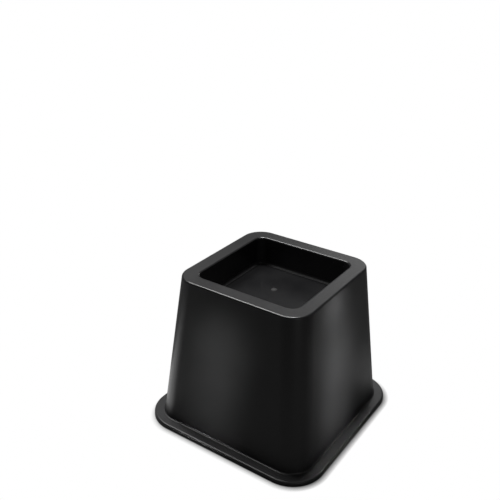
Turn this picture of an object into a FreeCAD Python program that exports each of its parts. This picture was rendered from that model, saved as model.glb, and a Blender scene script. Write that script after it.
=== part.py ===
"""Bed riser: a moulded plastic block that stands under a bed's leg and lifts it.

It is one piece. A hollow square shell tapers up from a flange to a flat rim, a socket for the
leg hangs inside the rim, and four webs under the socket tie it to the walls of the shell.
Frame: millimetres, +Z up, origin at the middle of the flange's underside.
"""
import FreeCAD, Part
import math
import os
import Sketcher

NODE = "bed_riser"
UP = FreeCAD.Vector(0, 0, 1)
NEAR = 1e-3

SIZES = [
    ("height", 133, "floor to the top of the rim"),
    ("foot_width", 145, "shell at the floor"),
    ("shell_corner", 20, "shell's corner radius"),
    ("wall", 3, "wall of the shell and of the rim"),
    ("rim_round", 1.6, "round on the rim's outer edge"),
    ("ledge", 8.5, "flange, out from the shell at the floor"),
    ("flange_thickness", 4, "flange, top to underside"),
    ("flange_round", 1.6, "round on the flange's upper edge"),
    ("foot_fillet", 1.2, "fillet between the shell and the flange"),
    ("mouth_width", 92, "socket at its mouth, which the leg goes into"),
    ("rim_width", 12.75, "rim, from the mouth out to the shell's face"),
    ("mouth_corner", 8.5, "socket's corner radius at its mouth"),
    ("mouth_round", 1.5, "round on the edge of the mouth"),
    ("socket_depth", 25, "rim to the socket's floor"),
    ("socket_draft", 1.2, "slope of the socket's walls, in degrees"),
    ("seat_fillet", 1.5, "fillet round the socket's floor"),
    ("socket_wall", 3, "socket's wall at its mouth"),
    ("seat_thickness", 3.5, "socket's floor, top to underside"),
    ("web_depth", 38, "webs, below the underside of the socket's floor"),
    ("web_edge", 2.4, "thickness of the webs at their free lower edge"),
    ("web_root", 3.4, "thickness of the webs under the rim"),
    ("gate_width", 4.2, "stub that the mould's gate leaves on the socket's floor"),
    ("gate_height", 0.5, "stub, above the socket's floor"),
    ("gate_round", 0.4, "round on the stub's top edge"),
    ("gate_left", 6.7, "stub's middle, to the left of the socket's middle"),
    ("gate_back", 9.3, "stub's middle, behind the socket's middle"),
]

# Heights and widths that follow from the driving sizes, as expressions
FLOOR = "0"
FLANGE_TOP = "Sizes.flange_thickness"
FLANGE_WIDTH = "(Sizes.foot_width + 2 * Sizes.ledge)"
FLANGE_CORNER = "(Sizes.shell_corner + Sizes.ledge)"
RIM_TOP = "Sizes.height"
TOP_WIDTH = "(Sizes.mouth_width + 2 * Sizes.rim_width)"
RIM_UNDERSIDE = "(Sizes.height - Sizes.wall)"
SEAT = "(Sizes.height - Sizes.socket_depth)"
SEAT_WIDTH = "(Sizes.mouth_width - 2 * Sizes.socket_depth * tan(Sizes.socket_draft))"
SEAT_UNDERSIDE = f"({SEAT} - Sizes.seat_thickness)"
WEB_EDGE = f"({SEAT_UNDERSIDE} - Sizes.web_depth)"


def shell_width(z):
    """The shell's outer width at height z: it goes evenly from the floor to the rim."""
    return f"(Sizes.foot_width + ({TOP_WIDTH} - Sizes.foot_width) * {z} / Sizes.height)"


def make_sheet(doc):
    """The driving dimensions, one to a row: what each one measures, and its value."""
    sheet = doc.addObject("Spreadsheet::Sheet", "Sizes")
    for row, (alias, value, meaning) in enumerate(SIZES, start=1):
        sheet.set(f"A{row}", meaning)
        sheet.set(f"B{row}", str(value))
        sheet.setAlias(f"B{row}", alias)
    doc.recompute()


def value_of(item, expression):
    return float(item.evalExpression(expression))


def origin_feature(body, role):
    return next(feature for feature in body.Origin.OriginFeatures if feature.Role == role)


def level_sketch(body, name, z):
    """An empty sketch on the level plane at height z."""
    sketch = body.newObject("Sketcher::SketchObject", name)
    sketch.AttachmentSupport = [(origin_feature(body, "XY_Plane"), "")]
    sketch.MapMode = "FlatFace"
    sketch.setExpression("AttachmentOffset.Base.z", z)
    return sketch


def dimension(sketch, name, expression, *constraint):
    """Add a named dimension to a sketch and bind it to an expression."""
    sketch.addConstraint(Sketcher.Constraint(*constraint, value_of(sketch, expression)))
    sketch.renameConstraint(sketch.ConstraintCount - 1, name)
    sketch.setExpression(f"Constraints.{name}", expression)


def draw_rounded_square(sketch, name, width, corner):
    """Draw a square with rounded corners, centred on the sketch's origin.

    Sides and corners take turns, anticlockwise from the front side, so that each line starts
    where the corner before it ends.
    """
    half = value_of(sketch, width) / 2
    radius = value_of(sketch, corner)
    flat = half - radius
    edges = []
    for turn in range(4):
        spin = FreeCAD.Rotation(UP, 90 * turn)
        side_start = spin.multVec(FreeCAD.Vector(-flat, -half, 0))
        side_end = spin.multVec(FreeCAD.Vector(flat, -half, 0))
        circle = Part.Circle(spin.multVec(FreeCAD.Vector(flat, -flat, 0)), UP, radius)
        quarter = (math.radians(90 * (turn - 1)), math.radians(90 * turn))
        edges.append(sketch.addGeometry(Part.LineSegment(side_start, side_end)))
        edges.append(sketch.addGeometry(Part.ArcOfCircle(circle, *quarter)))
    sides, corners = edges[0::2], edges[1::2]
    start, end, centre, origin = 1, 2, 3, -1
    for edge, following in zip(edges, edges[1:] + edges[:1]):
        sketch.addConstraint(Sketcher.Constraint("Tangent", edge, end, following, start))
    for side, way in zip(sides, ("Horizontal", "Vertical", "Horizontal", "Vertical")):
        sketch.addConstraint(Sketcher.Constraint(way, side))
    for other in corners[1:]:
        sketch.addConstraint(Sketcher.Constraint("Equal", corners[0], other))
    sketch.addConstraint(Sketcher.Constraint("Equal", sides[0], sides[1]))
    sketch.addConstraint(Sketcher.Constraint("Symmetric", corners[0], centre, corners[2], centre, origin, 1))
    dimension(sketch, f"{name}Width", width, "DistanceX", sides[3], end, sides[1], start)
    dimension(sketch, f"{name}Corner", corner, "Radius", corners[0])


def round_edges(body, name, radius, chosen):
    """Round the edges of the solid so far whose end points pass a test."""
    base = body.Tip
    numbered = enumerate(base.Shape.Edges, start=1)
    edges = [f"Edge{number}" for number, edge in numbered if chosen([v.Point for v in edge.Vertexes])]
    feature = body.newObject("PartDesign::Fillet", name)
    feature.Base = (base, edges)
    feature.setExpression("Radius", radius)
    body.Document.recompute()


def round_outline(body, name, z, width, radius):
    """Round the level outline that is the given width across at height z."""
    level = value_of(body, z)
    half = value_of(body, width) / 2

    def on_outline(points):
        reaches = [max(abs(point.x), abs(point.y)) for point in points]
        is_level = all(abs(point.z - level) < NEAR for point in points)
        return is_level and all(abs(reach - half) < NEAR for reach in reaches)

    round_edges(body, name, radius, on_outline)


def faces_spanning(shape, *levels):
    """Names of the faces whose corner points lie at exactly these heights."""
    wanted = {round(level, 3) for level in levels}
    names = []
    for number, face in enumerate(shape.Faces, start=1):
        if {round(vertex.Z, 3) for vertex in face.Vertexes} == wanted:
            names.append(f"Face{number}")
    return names


def add_shell(body):
    """The tapered block with rounded corners, then hollowed from below to an even wall."""
    block = body.newObject("PartDesign::AdditiveWedge", "Block")
    for level, width in (("", "Sizes.foot_width"), ("2", TOP_WIDTH)):
        for axis in "XZ":
            block.setExpression(f"{axis}{level}min", f"-{width} / 2")
            block.setExpression(f"{axis}{level}max", f"{width} / 2")
    block.setExpression("Ymin", FLOOR)
    block.setExpression("Ymax", RIM_TOP)
    stand_up = FreeCAD.Rotation(FreeCAD.Vector(1, 0, 0), 90)
    block.Placement = FreeCAD.Placement(FreeCAD.Vector(), stand_up)
    body.Document.recompute()
    round_edges(body, "BlockCorners", "Sizes.shell_corner", lambda ends: abs(ends[0].z - ends[-1].z) > NEAR)
    solid = body.Tip
    shell = body.newObject("PartDesign::Thickness", "Shell")
    shell.Base = (solid, faces_spanning(solid.Shape, value_of(body, FLOOR)))
    shell.setExpression("Value", "Sizes.wall")
    shell.Reversed = True
    body.Document.recompute()


def add_flange(body):
    """The flat flange round the shell's foot, which spreads the load on the floor."""
    sketch = level_sketch(body, "FlangeOutline", FLOOR)
    draw_rounded_square(sketch, "Outer", FLANGE_WIDTH, FLANGE_CORNER)
    draw_rounded_square(sketch, "Inner", "Sizes.foot_width - Sizes.wall", "Sizes.shell_corner - Sizes.wall / 2")
    flange = body.newObject("PartDesign::Pad", "Flange")
    flange.Profile = sketch
    flange.setExpression("Length", "Sizes.flange_thickness")
    body.Document.recompute()


def web_section(body, name, z, thickness):
    """A level section of one web, from the axis out to the middle of the shell's wall."""
    sketch = level_sketch(body, name, z)
    reach = f"{shell_width(z)} / 2 - Sizes.wall / 2"
    out = value_of(body, reach)
    half = value_of(body, thickness) / 2
    corners = [(0, -half), (out, -half), (out, half), (0, half)]
    for (x0, y0), (x1, y1) in zip(corners, corners[1:] + corners[:1]):
        sketch.addGeometry(Part.LineSegment(FreeCAD.Vector(x0, y0, 0), FreeCAD.Vector(x1, y1, 0)))
    near_side, outer_end, far_side, inner_end = range(4)
    start, end, level_axis, cross_axis = 1, 2, -1, -2
    for edge in range(4):
        sketch.addConstraint(Sketcher.Constraint("Coincident", edge, end, (edge + 1) % 4, start))
    sketch.addConstraint(Sketcher.Constraint("Horizontal", near_side))
    sketch.addConstraint(Sketcher.Constraint("Horizontal", far_side))
    sketch.addConstraint(Sketcher.Constraint("Vertical", inner_end))
    sketch.addConstraint(Sketcher.Constraint("PointOnObject", inner_end, start, cross_axis))
    sketch.addConstraint(Sketcher.Constraint("Symmetric", outer_end, start, outer_end, end, level_axis))
    dimension(sketch, "Reach", reach, "DistanceX", near_side, start, near_side, end)
    dimension(sketch, "Thickness", thickness, "DistanceY", outer_end, start, outer_end, end)
    return sketch


def add_webs(body):
    """Four upright webs that meet under the socket, thinner towards their free edge."""
    web = body.newObject("PartDesign::AdditiveLoft", "Web")
    web.Profile = web_section(body, "WebEdge", WEB_EDGE, "Sizes.web_edge")
    web.Sections = [web_section(body, "WebRoot", RIM_UNDERSIDE, "Sizes.web_root")]
    web.Ruled = True
    body.Document.recompute()
    pattern = body.newObject("PartDesign::PolarPattern", "Webs")
    pattern.Originals = [web]
    pattern.Axis = (origin_feature(body, "Z_Axis"), [""])
    pattern.Angle = 360
    pattern.Occurrences = 4
    body.Tip = pattern
    body.Document.recompute()


def add_socket(body):
    """The socket: a block hung from the rim, cut out for the leg's foot, with drafted walls."""
    outside = level_sketch(body, "SocketOutside", SEAT_UNDERSIDE)
    width = "Sizes.mouth_width + 2 * Sizes.socket_wall"
    draw_rounded_square(outside, "Outside", width, "Sizes.mouth_corner + Sizes.socket_wall")
    block = body.newObject("PartDesign::Pad", "SocketBlock")
    block.Profile = outside
    block.setExpression("Length", f"{RIM_UNDERSIDE} - {SEAT_UNDERSIDE}")
    mouth = level_sketch(body, "Mouth", RIM_TOP)
    draw_rounded_square(mouth, "Mouth", "Sizes.mouth_width", "Sizes.mouth_corner")
    pocket = body.newObject("PartDesign::Pocket", "Socket")
    pocket.Profile = mouth
    pocket.setExpression("Length", "Sizes.socket_depth")
    body.Document.recompute()
    rim, seat = value_of(body, RIM_TOP), value_of(body, SEAT)
    draft = body.newObject("PartDesign::Draft", "SocketDraft")
    draft.Base = (pocket, faces_spanning(pocket.Shape, rim, seat))
    draft.NeutralPlane = (pocket, faces_spanning(pocket.Shape, rim))
    draft.setExpression("Angle", "Sizes.socket_draft")
    body.Document.recompute()


def add_gate_stub(body):
    """The low round stub that the mould's gate leaves on the socket's floor, behind its middle."""
    stub = body.newObject("PartDesign::AdditiveCylinder", "GateStub")
    stub.setExpression("Radius", "Sizes.gate_width / 2")
    stub.setExpression("Height", "Sizes.gate_height")
    stub.setExpression(".Placement.Base.x", "-Sizes.gate_left")
    stub.setExpression(".Placement.Base.y", "Sizes.gate_back")
    stub.setExpression(".Placement.Base.z", SEAT)
    body.Document.recompute()
    top = value_of(body, f"{SEAT} + Sizes.gate_height")
    round_edges(body, "GateRound", "Sizes.gate_round", lambda ends: all(abs(end.z - top) < NEAR for end in ends))


def add_rounds(body):
    """The rounds and fillets that the mould gives the socket, the rim and the flange."""
    round_outline(body, "SeatFillet", SEAT, SEAT_WIDTH, "Sizes.seat_fillet")
    round_outline(body, "MouthRound", RIM_TOP, "Sizes.mouth_width", "Sizes.mouth_round")
    round_outline(body, "RimRound", RIM_TOP, TOP_WIDTH, "Sizes.rim_round")
    round_outline(body, "FootFillet", FLANGE_TOP, shell_width(FLANGE_TOP), "Sizes.foot_fillet")
    round_outline(body, "FlangeRound", FLANGE_TOP, FLANGE_WIDTH, "Sizes.flange_round")


def check(doc, body):
    """Stop if any feature failed or the piece is not one sound solid."""
    for item in doc.Objects:
        if "Invalid" in item.State or "Error" in item.State:
            raise RuntimeError(f"{item.Name} failed: {item.getStatusString()}")
    shape = body.Shape
    if shape.isNull() or not shape.isValid() or len(shape.Solids) != 1:
        raise RuntimeError(f"{body.Label} is not one sound solid")


def main():
    doc = FreeCAD.newDocument("BedRiser")
    make_sheet(doc)
    body = doc.addObject("PartDesign::Body", "Riser")
    body.Label = NODE
    add_shell(body)
    add_flange(body)
    add_webs(body)
    add_socket(body)
    add_gate_stub(body)
    add_rounds(body)
    doc.recompute()
    check(doc, body)
    os.makedirs("parts", exist_ok=True)
    body.Shape.exportStep(f"parts/{body.Label}.step")
    print(f"{body.Label}: {body.Shape.Volume / 1000:.1f} cm3")


main()
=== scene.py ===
import math

import bmesh
import bpy
import numpy as np
from mathutils import Matrix, Vector


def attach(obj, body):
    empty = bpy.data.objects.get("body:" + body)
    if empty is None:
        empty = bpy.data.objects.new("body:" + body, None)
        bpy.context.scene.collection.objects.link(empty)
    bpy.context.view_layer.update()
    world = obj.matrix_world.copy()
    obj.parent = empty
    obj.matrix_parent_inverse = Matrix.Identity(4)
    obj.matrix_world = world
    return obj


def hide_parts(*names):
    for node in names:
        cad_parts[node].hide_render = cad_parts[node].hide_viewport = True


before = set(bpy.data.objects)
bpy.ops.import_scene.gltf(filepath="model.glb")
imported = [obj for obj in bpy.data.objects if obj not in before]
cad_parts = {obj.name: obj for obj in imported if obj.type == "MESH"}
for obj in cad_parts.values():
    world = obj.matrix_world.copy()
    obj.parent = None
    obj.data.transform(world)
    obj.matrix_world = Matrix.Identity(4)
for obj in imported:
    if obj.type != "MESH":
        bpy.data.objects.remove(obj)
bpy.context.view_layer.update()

# Riser
# One injection moulding in black polypropylene: a flange, a hollow tapered shell with a flat rim, a
# socket for the bed's leg hung inside the rim, and four webs under the socket that tie it to the shell.
# Sizes are in metres, and a reach is half a width, from the middle of the riser to the face.

RIM_TOP = 0.133
FOOT_REACH = 0.0725
TOP_REACH = 0.05875
FOOT_CORNER = 0.020
TOP_CORNER = 0.018
WALL = 0.003
RIM_ROUND = 0.0016

FLANGE_REACH = 0.081
FLANGE_CORNER = 0.0285
FLANGE_TOP = 0.004
FLANGE_ROUND = 0.0016
FOOT_FILLET = 0.0012

MOUTH_REACH = 0.046
MOUTH_CORNER = 0.0085
MOUTH_ROUND = 0.0015
SEAT = 0.108
SEAT_FILLET = 0.0015
SOCKET_DRAFT = math.radians(1.2)
SOCKET_WALL = 0.003
SEAT_THICKNESS = 0.0035

GATE_PLACE = (-0.0067, 0.0093)
GATE_RADIUS = 0.0021
GATE_HEIGHT = 0.0005
GATE_ROUND = 0.0004
GATE_STEPS = 5

WEB_DEPTH = 0.038
WEB_EDGE_HALF = 0.0012
WEB_ROOT_HALF = 0.0017

SIDE_STEPS = 7
CORNER_STEPS = 28
ROUND_STEPS = 10
EDGE_MARGIN = 0.0004
MARGIN_SHARE = 0.2
MERGE_WITHIN = 1e-7
SHARP_ANGLE = math.radians(35)


def shell_at(z):
    """The shell's face at height z: its reach and its corner radius go evenly from the floor to the rim."""
    share = z / RIM_TOP
    return FOOT_REACH + (TOP_REACH - FOOT_REACH) * share, FOOT_CORNER + (TOP_CORNER - FOOT_CORNER) * share


def stretch(start, end, steps=4):
    """A straight run of profile points (reach, corner radius, height) from start to end.

    A point close to each end keeps the shading of the round beside it from spreading along the run. It is
    EDGE_MARGIN from the end, or MARGIN_SHARE of a short run.
    """
    start, end = np.array(start), np.array(end)
    margin = min(EDGE_MARGIN / np.linalg.norm((end - start)[[0, 2]]), MARGIN_SHARE)
    share = np.concatenate([[0], np.linspace(margin, 1 - margin, steps), [1]])
    return start + (end - start) * share[:, None]


def rounding(centre, radius, first, last, steps=ROUND_STEPS):
    """A round or fillet of the profile: points on an arc from angle first to angle last, in degrees.

    The centre is a profile point; reach and corner radius both change by radius times the cosine, so
    that the outlines stay parallel, and height changes by radius times the sine.
    """
    angle = np.radians(np.linspace(first, last, steps + 1))
    across, up = radius * np.cos(angle), radius * np.sin(angle)
    return np.stack([centre[0] + across, centre[1] + across, centre[2] + up], axis=1)


def outlines(profile, half_gap):
    """Carry a profile round the riser: each point becomes a level square outline with rounded corners.

    A quarter starts half_gap to the right of the middle of the front side, follows that side, turns the
    corner on an arc and follows the next side to half_gap short of its middle. The other three quarters
    are the first one turned by 90, 180 and 270 degrees, anticlockwise from above.
    """
    reach, corner, z = (column[:, None] for column in profile.T)
    half_gap = np.broadcast_to(half_gap, len(profile))[:, None]
    flat = reach - corner
    along = half_gap + (flat - half_gap) * np.sin(np.linspace(0, np.pi / 2, SIDE_STEPS + 1))[None, :-1]
    turn = np.radians(np.linspace(-90, 0, CORNER_STEPS + 1))[None, :]
    x = np.hstack([along, flat + corner * np.cos(turn), np.broadcast_to(reach, along.shape)])
    y = np.hstack([np.broadcast_to(-reach, along.shape), -flat + corner * np.sin(turn), -along[:, ::-1]])
    x, y = np.hstack([x, -y, -x, y]), np.hstack([y, x, -y, -x])
    return np.stack([x, y, np.broadcast_to(z, x.shape)], axis=2)


def grid_faces(ids):
    """Four-sided faces between neighbouring rows and columns of a grid of vertex numbers."""
    corners = [ids[:-1, :-1], ids[1:, :-1], ids[1:, 1:], ids[:-1, 1:]]
    return np.stack(corners, axis=2).reshape(-1, 4).tolist()


def skin_profile():
    """The profile from the socket's floor over the rim, down the shell and the flange to the webs' edge."""
    slope = math.atan2(FOOT_REACH - TOP_REACH, RIM_TOP)
    seat_reach = MOUTH_REACH - (RIM_TOP - SEAT) * math.tan(SOCKET_DRAFT)
    seat_corner = MOUTH_CORNER - (RIM_TOP - SEAT) * math.tan(SOCKET_DRAFT)

    seat_centre = (seat_reach - SEAT_FILLET, seat_corner - SEAT_FILLET, SEAT + SEAT_FILLET)
    mouth_centre = (MOUTH_REACH + MOUTH_ROUND, MOUTH_CORNER + MOUTH_ROUND, RIM_TOP - MOUTH_ROUND)
    rim_reach, rim_corner = shell_at(RIM_TOP - RIM_ROUND)
    rim_inset = RIM_ROUND / math.cos(slope)
    rim_centre = (rim_reach - rim_inset, rim_corner - rim_inset, RIM_TOP - RIM_ROUND)
    foot_reach, foot_corner = shell_at(FLANGE_TOP + FOOT_FILLET)
    foot_offset = FOOT_FILLET / math.cos(slope)
    foot_centre = (foot_reach + foot_offset, foot_corner + foot_offset, FLANGE_TOP + FOOT_FILLET)
    flange_centre = (FLANGE_REACH - FLANGE_ROUND, FLANGE_CORNER - FLANGE_ROUND, FLANGE_TOP - FLANGE_ROUND)

    lean = math.degrees(slope)
    seat_arc = rounding(seat_centre, SEAT_FILLET, -90, 0)
    mouth_arc = rounding(mouth_centre, MOUTH_ROUND, 180, 90)
    rim_arc = rounding(rim_centre, RIM_ROUND, 90, lean)
    foot_arc = rounding(foot_centre, FOOT_FILLET, 180 + lean, 270)
    flange_arc = rounding(flange_centre, FLANGE_ROUND, 90, 0)
    floor_edge = (FLANGE_REACH, FLANGE_CORNER, 0.0)
    hollow_edge = (FOOT_REACH - WALL, FOOT_CORNER - WALL, 0.0)
    return np.vstack([
        seat_arc,
        stretch(seat_arc[-1], mouth_arc[0])[1:-1],
        mouth_arc,
        stretch(mouth_arc[-1], rim_arc[0])[1:-1],
        rim_arc,
        stretch(rim_arc[-1], foot_arc[0], steps=12)[1:-1],
        foot_arc,
        stretch(foot_arc[-1], flange_arc[0])[1:-1],
        flange_arc,
        stretch(flange_arc[-1], floor_edge)[1:],
        stretch(floor_edge, hollow_edge)[1:],
        stretch(hollow_edge, web_foot(), steps=8)[1:],
    ])


def web_foot():
    """The profile point inside the shell's wall at the height of the webs' free edge."""
    z = SEAT - SEAT_THICKNESS - WEB_DEPTH
    reach, corner = shell_at(z)
    return reach - WALL, corner - WALL, z


def cell_profile():
    """The profile of a cell between two webs: up the wall, under the rim, down the socket, in to the axis.

    Its last point is on the upright line where the two webs meet, under the socket's floor.
    """
    under_rim = RIM_TOP - WALL
    under_seat = SEAT - SEAT_THICKNESS
    reach, corner = shell_at(under_rim)
    wall_top = (reach - WALL, corner - WALL, under_rim)
    socket_reach, socket_corner = MOUTH_REACH + SOCKET_WALL, MOUTH_CORNER + SOCKET_WALL
    socket_top = (socket_reach, socket_corner, under_rim)
    socket_foot = (socket_reach, socket_corner, under_seat)
    axis_point = (web_half(under_seat), 0.0, under_seat)
    return np.vstack([
        stretch(web_foot(), wall_top, steps=6),
        stretch(wall_top, socket_top)[1:],
        stretch(socket_top, socket_foot)[1:],
        stretch(socket_foot, axis_point)[1:],
    ])


def web_half(z):
    """Half the webs' thickness at height z: it grows evenly from their free edge to the rim's underside."""
    edge = SEAT - SEAT_THICKNESS - WEB_DEPTH
    share = (z - edge) / (RIM_TOP - WALL - edge)
    return WEB_EDGE_HALF + (WEB_ROOT_HALF - WEB_EDGE_HALF) * share


def gate_stub(seat_edge):
    """The stub on the socket's floor: a disc, a rounded edge and a short side, as circles round its middle.

    Each point of a circle lies towards a point of the seat's edge, so that the faces between the two
    don't cross.
    """
    outward = seat_edge[:, :2] - GATE_PLACE
    outward = outward / np.linalg.norm(outward, axis=1, keepdims=True)
    angle = np.radians(np.linspace(90, 0, GATE_STEPS + 1))
    edge_radius = GATE_RADIUS - GATE_ROUND * (1 - np.cos(angle))
    edge_z = GATE_HEIGHT - GATE_ROUND * (1 - np.sin(angle))
    radius = np.concatenate([[0, 0.5 * GATE_RADIUS], edge_radius, [GATE_RADIUS]])
    z = SEAT + np.concatenate([[GATE_HEIGHT, GATE_HEIGHT], edge_z, [0]])
    circles = GATE_PLACE + radius[:, None, None] * outward[None]
    return np.dstack([circles, np.broadcast_to(z[:, None], circles.shape[:2])])


def seat_flat(stub_foot, seat_edge):
    """Two outlines on the flat seat, close to the stub and to the fillet, that keep their shading from it.

    Each point lies on the line between a point of the stub's foot and the one of the seat's edge beside it.
    """
    inward = stub_foot - seat_edge
    margin = EDGE_MARGIN / np.linalg.norm(inward, axis=1, keepdims=True)
    return np.stack([stub_foot - margin * inward, seat_edge + margin * inward])


def riser_mesh():
    """Join the stub, the skin, the four cells and the webs into one closed surface."""
    skin = outlines(skin_profile(), WEB_EDGE_HALF)
    stub = gate_stub(skin[0])
    skin = np.vstack([stub, seat_flat(stub[-1], skin[0]), skin])
    cells = outlines(cell_profile(), web_half(cell_profile()[:, 2]))
    z = web_foot()[2]
    crossing = WEB_EDGE_HALF * np.array([[1, -1], [1, 1], [-1, 1], [-1, -1]])
    crossing = np.column_stack([crossing, np.full(4, z)])

    points = np.vstack([skin.reshape(-1, 3), cells.reshape(-1, 3), crossing])
    skin_ids = np.arange(skin[..., 0].size).reshape(skin.shape[:2])
    cell_ids = skin_ids.size + np.arange(cells[..., 0].size).reshape(cells.shape[:2])
    crossing_ids = (skin_ids.size + cell_ids.size + np.arange(4)).tolist()

    faces = grid_faces(np.hstack([skin_ids, skin_ids[:, :1]]))
    quarters = np.split(cell_ids, 4, axis=1)
    for turn, quarter in enumerate(quarters):
        before = quarters[turn - 1]
        inner = crossing_ids[turn]
        inner_before = crossing_ids[turn - 1]
        faces += grid_faces(quarter)
        faces.append([inner, *quarter[::-1, 0].tolist()])
        faces.append([*quarter[:, -1].tolist(), inner])
        faces.append([int(before[0, -1]), inner_before, inner, int(quarter[0, 0])])
    faces.append(crossing_ids[::-1])

    mesh = bpy.data.meshes.new("riser")
    mesh.from_pydata(points.tolist(), [], faces)
    merged = bmesh.new()
    merged.from_mesh(mesh)
    bmesh.ops.remove_doubles(merged, verts=merged.verts, dist=MERGE_WITHIN)
    merged.to_mesh(mesh)
    merged.free()
    mesh.shade_smooth()
    mesh.set_sharp_from_angle(angle=SHARP_ANGLE)
    return mesh


riser = bpy.data.objects.new("riser", riser_mesh())
bpy.context.scene.collection.objects.link(riser)
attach(riser, "root")
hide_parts("bed_riser")

# The moulded finish: black all through, with a fine grain from the mould that is coarsest on the rim and
# polished nearly away in the socket and on the rim's rounds. The fillet round the seat is dull, the rim
# is rubbed slightly pale, and the stub has a torn, pale face with a blush round it.
PLASTIC_DEEP = (0.0055, 0.0055, 0.0060, 1)
PLASTIC_FADED = (0.0085, 0.0084, 0.0088, 1)
RUBBED_RIM = (0.0105, 0.0104, 0.0106, 1)
TORN_STUB = (0.0300, 0.0296, 0.0292, 1)
GATE_BLUSH = (0.0200, 0.0198, 0.0196, 1)
BLUSH_RADIUS = 0.0036
GRAIN_SIZE = 0.0011
FADE_SIZE = 0.035
SCUFF_SIZE = 0.004
GRAIN_DEPTH = 0.00003
MASK_EDGE = 0.0006
RIM_FLAT = 0.00002
SEAT_BORDER = (0.0030, 0.0022)
SPOT_RANGE = (0.3, 0.7)
LEAST_SCUFF = 0.35
WALL_GRAIN = 0.35
RIM_EXTRA_GRAIN = 0.65
GRAIN_POLISHED_OFF = -0.31
ROUGHNESS_RANGE = (0.38, 0.42)
GRAIN_ROUGHNESS = 0.03
POLISH_ROUGHNESS = -0.16
ROUNDS_POLISH = 0.60
FILLET_ROUGHNESS = 0.49
STUB_ROUGHNESS = 0.14
PLASTIC_IOR = 1.49

plastic = bpy.data.materials.new("black_polypropylene")
plastic.use_nodes = True
nodes, links = plastic.node_tree.nodes, plastic.node_tree.links
surface = nodes["Principled BSDF"]
place = nodes.new("ShaderNodeTexCoord").outputs["Object"]


def math_node(operation, first, second):
    """The result of one arithmetic operation on two values, each an output socket or a number."""
    node = nodes.new("ShaderNodeMath")
    node.operation = operation
    for socket, value in zip(node.inputs, (first, second)):
        if isinstance(value, bpy.types.NodeSocket):
            links.new(value, socket)
        else:
            socket.default_value = value
    return node.outputs["Value"]


def between(value, start, end, low=0.0, high=1.0):
    """A smooth step: low where value is at start, high where it is at end, with level ends."""
    node = nodes.new("ShaderNodeMapRange")
    node.interpolation_type = "SMOOTHSTEP"
    limits = {"From Min": start, "From Max": end, "To Min": low, "To Max": high}
    for name, limit in limits.items():
        node.inputs[name].default_value = limit
    links.new(value, node.inputs["Value"])
    return node.outputs["Result"]


def mottle(size, detail, low=0.0, high=1.0):
    """Soft spots of about the given size, in metres, that drift between low and high over the surface."""
    spots = nodes.new("ShaderNodeTexNoise")
    spots.inputs["Scale"].default_value = 1 / size
    spots.inputs["Detail"].default_value = detail
    links.new(place, spots.inputs["Vector"])
    return between(spots.outputs["Fac"], *SPOT_RANGE, low, high)


def tinted(share, under, over):
    """The colour under, mixed towards the colour over by share."""
    node = nodes.new("ShaderNodeMix")
    node.data_type = "RGBA"
    links.new(share, node.inputs["Factor"])
    for name, colour in (("A", under), ("B", over)):
        if isinstance(colour, bpy.types.NodeSocket):
            links.new(colour, node.inputs[name])
        else:
            node.inputs[name].default_value = colour
    return node.outputs["Result"]


split = nodes.new("ShaderNodeSeparateXYZ")
links.new(place, split.inputs["Vector"])
across, along, height = split.outputs
reach = math_node("MAXIMUM", math_node("ABSOLUTE", across, 0), math_node("ABSOLUTE", along, 0))
from_gate = nodes.new("ShaderNodeVectorMath")
from_gate.operation = "DISTANCE"
from_gate.inputs[1].default_value = (*GATE_PLACE, SEAT)
links.new(place, from_gate.inputs[0])
gate_distance = from_gate.outputs["Value"]

above_seat = between(height, SEAT - MASK_EDGE, SEAT)
on_rim = between(height, RIM_TOP - RIM_FLAT, RIM_TOP)
at_edge = between(height, RIM_TOP - RIM_ROUND, RIM_TOP - RIM_ROUND / 2)
in_mouth = between(reach, MOUTH_REACH, MOUTH_REACH + MASK_EDGE, 1, 0)
in_socket = math_node("MULTIPLY", in_mouth, math_node("SUBTRACT", above_seat, on_rim))
seat_border = between(reach, MOUTH_REACH - SEAT_BORDER[0], MOUTH_REACH - SEAT_BORDER[1])
near_seat = between(height, SEAT + SEAT_FILLET, SEAT + 2 * SEAT_FILLET, 1, 0)
on_fillet = math_node("MULTIPLY", in_socket, math_node("MULTIPLY", seat_border, near_seat))
on_gate = between(gate_distance, GATE_RADIUS, GATE_RADIUS + MASK_EDGE, 1, 0)
blush = between(gate_distance, GATE_RADIUS, BLUSH_RADIUS, 1, 0)

fading = mottle(FADE_SIZE, detail=3)
scuffs = math_node("MULTIPLY", on_rim, mottle(SCUFF_SIZE, detail=4, low=LEAST_SCUFF))
colour = tinted(fading, PLASTIC_DEEP, PLASTIC_FADED)
colour = tinted(scuffs, colour, RUBBED_RIM)
colour = tinted(blush, colour, GATE_BLUSH)
colour = tinted(on_gate, colour, TORN_STUB)
links.new(colour, surface.inputs["Base Color"])

on_rounds = math_node("SUBTRACT", at_edge, on_rim)
smoothed = math_node("MAXIMUM", in_socket, on_rounds)
coarseness = math_node("ADD", math_node("MULTIPLY", on_rim, RIM_EXTRA_GRAIN), WALL_GRAIN)
coarseness = math_node("ADD", coarseness, math_node("MULTIPLY", smoothed, GRAIN_POLISHED_OFF))
grain = math_node("MULTIPLY", mottle(GRAIN_SIZE, detail=2), coarseness)

polish = math_node("MAXIMUM", in_socket, math_node("MULTIPLY", on_rounds, ROUNDS_POLISH))
roughness = mottle(FADE_SIZE, 2, *ROUGHNESS_RANGE)
roughness_changes = (
    (grain, GRAIN_ROUGHNESS),
    (polish, POLISH_ROUGHNESS),
    (on_fillet, FILLET_ROUGHNESS),
    (on_gate, STUB_ROUGHNESS),
)
for mask, change in roughness_changes:
    roughness = math_node("ADD", roughness, math_node("MULTIPLY", mask, change))
links.new(roughness, surface.inputs["Roughness"])

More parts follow.
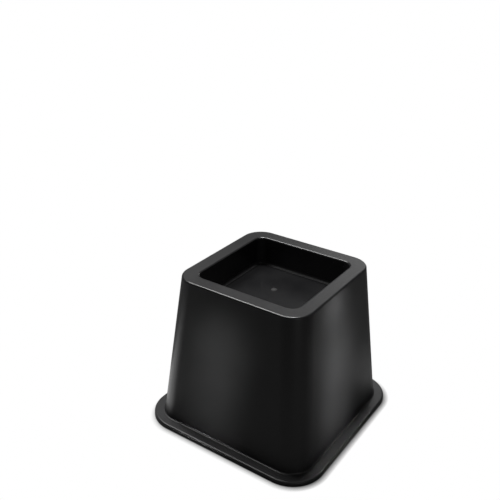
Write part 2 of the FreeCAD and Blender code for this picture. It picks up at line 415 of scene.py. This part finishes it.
relief = nodes.new("ShaderNodeBump")
relief.inputs["Distance"].default_value = GRAIN_DEPTH
links.new(grain, relief.inputs["Height"])
links.new(relief.outputs["Normal"], surface.inputs["Normal"])
surface.inputs["IOR"].default_value = PLASTIC_IOR
riser.data.materials.append(plastic)

# Floor
# A plain matt sheet that the riser stands on, laid flat and far wider than the picture. It glows evenly
# bright to the camera, with a soft shadow painted into that glow where the riser meets it, and it is dark
# in the riser's own gloss.

FLOOR_REACH = 6
PAPER_GREY = (0.12, 0.12, 0.12, 1)
CONTACT_SHADOW = 0.0050
CONTACT_DEPTH = 1.8
CONTACT_SAMPLES = 16
SHADOW_LEAN = (-0.62, 0.16, 0.77)

floor_mesh = bpy.data.meshes.new("floor")
floor_corners = FLOOR_REACH * np.array([(-1, -1, 0), (1, -1, 0), (1, 1, 0), (-1, 1, 0)])
floor_mesh.from_pydata(floor_corners.tolist(), [], [(0, 1, 2, 3)])
floor = bpy.data.objects.new("floor", floor_mesh)
bpy.context.scene.collection.objects.link(floor)

paper = bpy.data.materials.new("white_paper_with_painted_shadow")
paper.use_nodes = True
floor_mesh.materials.append(paper)
nodes, links = paper.node_tree.nodes, paper.node_tree.links
sheet = nodes["Principled BSDF"]
sheet.inputs["Base Color"].default_value = PAPER_GREY
sheet.inputs["Roughness"].default_value = 1
sheet.inputs["Specular IOR Level"].default_value = 0
# Painted shadow: the glow is darkened by how closely the riser hems in each point of the sheet, measured
# within CONTACT_SHADOW about a normal leaned by SHADOW_LEAN towards the left and back, so that the shade
# falls to the right and front; the lamps cast none of it.
contact = nodes.new("ShaderNodeAmbientOcclusion")
contact.inputs["Distance"].default_value = CONTACT_SHADOW
contact.samples = CONTACT_SAMPLES
lean = nodes.new("ShaderNodeCombineXYZ")
for socket, share in zip(lean.inputs, SHADOW_LEAN):
    socket.default_value = share
links.new(lean.outputs["Vector"], contact.inputs["Normal"])
shade = nodes.new("ShaderNodeMath")
shade.operation = "POWER"
shade.inputs[1].default_value = CONTACT_DEPTH
links.new(contact.outputs["AO"], shade.inputs[0])
glow_with_painted_shadow = nodes.new("ShaderNodeEmission")
links.new(shade.outputs["Value"], glow_with_painted_shadow.inputs["Color"])
ray = nodes.new("ShaderNodeLightPath")
seen = nodes.new("ShaderNodeMixShader")
links.new(ray.outputs["Is Camera Ray"], seen.inputs["Fac"])
links.new(sheet.outputs["BSDF"], seen.inputs[1])
links.new(glow_with_painted_shadow.outputs["Emission"], seen.inputs[2])
links.new(seen.outputs["Shader"], nodes["Material Output"].inputs["Surface"])

# Studio light
# Softboxes on stands: two high, behind and to the left, a low fill at the front right, one behind for the
# rim, gridded strips for the walls and the flange that face the camera, and two cards lying on the floor.
# An azimuth is measured from the front, -Y, towards +X, and an elevation up from the floor.

RISER_MIDDLE = (0, 0, 0.066)
LEFT_WALL = (-0.0100, -0.066, 0.050)
RIGHT_WALL = (0.066, -0.011, 0.060)
RIGHT_WALL_TOP = (0.060, -0.010, 0.125)
RIGHT_FLANGE = (0.077, -0.040, 0.004)
ABOVE_LEFT_CARD = (-0.165, -0.095, 0.100)
ABOVE_RIGHT_CARD = (0.104, 0.108, 0.100)
CARD_DROP = 0.099
WIDE_OPEN = 180
FLAT = -89.9
SURROUND_GREY = (0.12, 0.12, 0.12, 1)
SURROUND_WHITE = (1, 1, 1, 1)


def softbox(name, aim, azimuth, elevation, distance, size, watts, grid=WIDE_OPEN, roll=0):
    """An area lamp on a sphere round the point it faces, turned about its own axis by roll.

    Its place is the point plus the distance along the direction of azimuth and elevation, and grid is
    the angle in degrees that its light fans out over. An elevation of FLAT lays it below the point, face
    up, a hair off upright so that the azimuth still turns it.
    """
    turn, rise = math.radians(azimuth), math.radians(elevation)
    away = Vector((math.sin(turn) * math.cos(rise), -math.cos(turn) * math.cos(rise), math.sin(rise)))
    box = bpy.data.lights.new(name, "AREA")
    box.shape = "RECTANGLE"
    box.size, box.size_y = size
    box.energy = watts
    box.spread = math.radians(grid)
    lamp = bpy.data.objects.new(name, box)
    facing = away.to_track_quat("Z", "Y").to_matrix().to_4x4() @ Matrix.Rotation(math.radians(roll), 4, "Z")
    lamp.matrix_world = Matrix.Translation(Vector(aim) + distance * away) @ facing
    lamp.visible_camera = False
    bpy.context.scene.collection.objects.link(lamp)


softbox("overhead", RISER_MIDDLE, 215, 76, 1.4, (0.28, 0.28), 16)
softbox("key", RISER_MIDDLE, 264, 62, 1.4, (0.44, 0.40), 14)
softbox("front_fill", RISER_MIDDLE, 55, 6, 0.7, (0.28, 0.10), 0.16)
softbox("rim_light", RISER_MIDDLE, 192, 24, 0.7, (0.28, 0.24), 0.34)
softbox("left_strip", LEFT_WALL, -32, 0, 0.5, (0.012, 0.106), 0.0052, grid=7, roll=-1)
softbox("right_strip", RIGHT_WALL, 110, 0, 0.5, (0.024, 0.100), 0.020, grid=8, roll=-7)
softbox("right_top_strip", RIGHT_WALL_TOP, 110, -12, 0.5, (0.022, 0.024), 0.0032, grid=5, roll=-7)
softbox("left_card", ABOVE_LEFT_CARD, 300, FLAT, CARD_DROP, (0.08, 0.17), 0.058)
softbox("right_card", ABOVE_RIGHT_CARD, 149, FLAT, CARD_DROP, (0.05, 0.07), 0.0027)
softbox("flange_strip", RIGHT_FLANGE, 184, 35, 0.5, (0.012, 0.012), 0.0018, grid=13)

surround = bpy.data.worlds.new("surround")
surround.use_nodes = True
bpy.context.scene.world = surround
nodes, links = surround.node_tree.nodes, surround.node_tree.links
ray = nodes.new("ShaderNodeLightPath")
glow = nodes.new("ShaderNodeMix")
glow.data_type = "RGBA"
glow.inputs["A"].default_value = SURROUND_GREY
glow.inputs["B"].default_value = SURROUND_WHITE
links.new(ray.outputs["Is Camera Ray"], glow.inputs["Factor"])
links.new(glow.outputs["Result"], nodes["Background"].inputs["Color"])

# Camera
# It stands about 0.6 m off, in front of the riser and to its right, and looks down into the socket with a
# normal lens, turned slightly about its own axis.

CAMERA_PLACE = (0.2580, -0.4189, 0.3867)
CAMERA_TURN = math.radians(34.083)
CAMERA_TILT = math.radians(25.727)
CAMERA_ROLL = math.radians(0.927)
CAMERA_LENS = 49.38
CAMERA_SENSOR = 36

camera = bpy.data.objects.new("camera", bpy.data.cameras.new("camera"))
camera.data.lens = CAMERA_LENS
camera.data.sensor_width = CAMERA_SENSOR
turned = Matrix.Rotation(CAMERA_TURN, 4, "Z") @ Matrix.Rotation(math.pi / 2 - CAMERA_TILT, 4, "X")
camera.matrix_world = Matrix.Translation(CAMERA_PLACE) @ turned @ Matrix.Rotation(CAMERA_ROLL, 4, "Z")
bpy.context.scene.collection.objects.link(camera)
bpy.context.scene.camera = camera
bpy.context.scene.view_settings.view_transform = "Standard"
